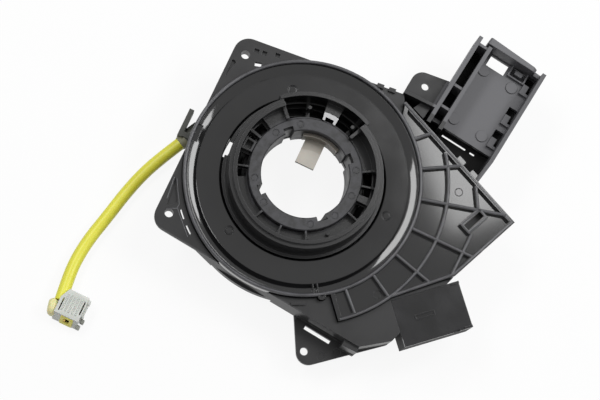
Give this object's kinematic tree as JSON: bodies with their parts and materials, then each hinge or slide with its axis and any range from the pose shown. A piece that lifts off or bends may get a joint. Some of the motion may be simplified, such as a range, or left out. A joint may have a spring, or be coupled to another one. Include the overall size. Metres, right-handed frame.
{
  "type": "steering clock spring",
  "caption": "Rotary coupling for a steering column: eared stator with module tray and ribbed fan cover, a turning rotor with bore, and a yellow airbag lead with plug.",
  "frame": {"origin": "on the turning axis, at the front end of the pilot bore, in the plane that the wheel side rests on", "axes": "+Z along the turning axis towards the steering column side; +X from the straight side towards the fan; Y along the line of the two rear ears"},
  "size_m": [0.1908, 0.2122, 0.048],
  "materials": {
    "case_plastic": "moulded, fine grain",
    "cover_plastic": "moulded, satin gloss",
    "connector_plastic": "moulded",
    "pin_metal": "tinned",
    "block_plastic": "moulded",
    "bar_brass": "stamped",
    "ribbon_film": "laminated",
    "film": "film",
    "rotor_plastic": "moulded",
    "hub_plastic": "moulded",
    "lock_plastic": "moulded",
    "clip_plastic": "moulded",
    "lead_yellow": "extruded soft sleeve",
    "plug_grey": "moulded",
    "plug_yellow": "moulded",
    "plug_cream": "moulded"
  },
  "bodies": {
    "stator": {"stator_case": "case_plastic", "rear_cover": "cover_plastic", "harness_connector": "connector_plastic", "harness_pins": "pin_metal", "terminal_block": "block_plastic", "bus_bars": "bar_brass", "ribbon_cable": "ribbon_film", "rear_film": "film"},
    "rotor": {"rotor_case": "rotor_plastic", "hub_ring": "hub_plastic", "transit_lock": "lock_plastic", "inner_terminal": "block_plastic", "front_film": "film", "wheel_connector": "connector_plastic", "wheel_pins": "pin_metal", "lead_clip": "clip_plastic", "lead_sleeve": "lead_yellow", "squib_plug": "plug_grey", "plug_lock": "plug_yellow", "squib_contacts": "bar_brass", "plug_cover": "plug_cream"}
  },
  "joints": [
    {"name": "rotor_turn", "type": "hinge", "parent": "stator", "child": "rotor", "pos_m": [0, 0, 0.02], "axis": [0, 0, 1], "range_deg": [-900, 900]}
  ]
}
